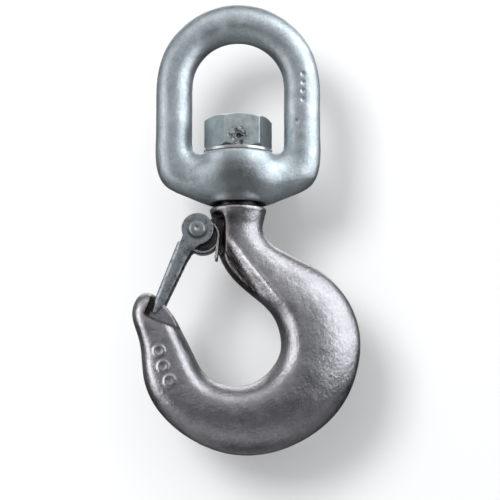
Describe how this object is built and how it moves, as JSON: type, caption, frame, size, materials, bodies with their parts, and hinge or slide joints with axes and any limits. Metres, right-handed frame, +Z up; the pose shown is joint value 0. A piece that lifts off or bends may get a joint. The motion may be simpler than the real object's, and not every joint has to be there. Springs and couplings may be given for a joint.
{
  "type": "swivel hoist hook",
  "caption": "Forged swivel hook with an oval lifting bail, swivel nut and washer, and a sprung safety latch across the throat.",
  "frame": {"origin": "top of the bail's eye on its inner face, in the middle plane, where a shackle or rope bears", "axes": "+Z up out of the hook along the swivel axis, +X towards the back of the hook away from the tip, +Y along the latch pin"},
  "size_m": [0.1221, 0.0414, 0.2455],
  "materials": {
    "galvanised_forging": "dull zinc coat over a forged surface",
    "forged_steel": "dull grey zinc coat over a forged surface",
    "bright_steel": "bright turned",
    "zinc_plated_steel": "zinc plated, slightly scuffed",
    "spring_steel": "drawn wire, plated",
    "pressed_steel": "zinc plated sheet"
  },
  "bodies": {
    "bail": {"bail": "galvanised_forging"},
    "washer": {"thrust_washer": "bright_steel"},
    "hook": {"hook": "forged_steel", "hook_nut": "zinc_plated_steel", "nut_lock_pin": "spring_steel", "latch_bolt": "zinc_plated_steel", "latch_locknut": "zinc_plated_steel", "latch_spring": "spring_steel"},
    "latch": {"latch": "pressed_steel"}
  },
  "joints": [
    {"name": "hook_swivel", "type": "hinge", "parent": "bail", "child": "hook", "pos_m": [0, 0, -0.076], "axis": [0, 0, 1], "continuous": true},
    {"name": "washer_turn", "type": "hinge", "parent": "bail", "child": "washer", "pos_m": [0, 0, -0.0612], "axis": [0, 0, 1], "continuous": true},
    {"name": "latch_hinge", "type": "hinge", "parent": "hook", "child": "latch", "pos_m": [-0.0216, 0, -0.1041], "axis": [0, -1, 0], "range_deg": [0, 45], "stiffness_Nm_per_rad": 0.03, "springref_deg": -20.05, "deforming": ["latch_spring"]}
  ]
}
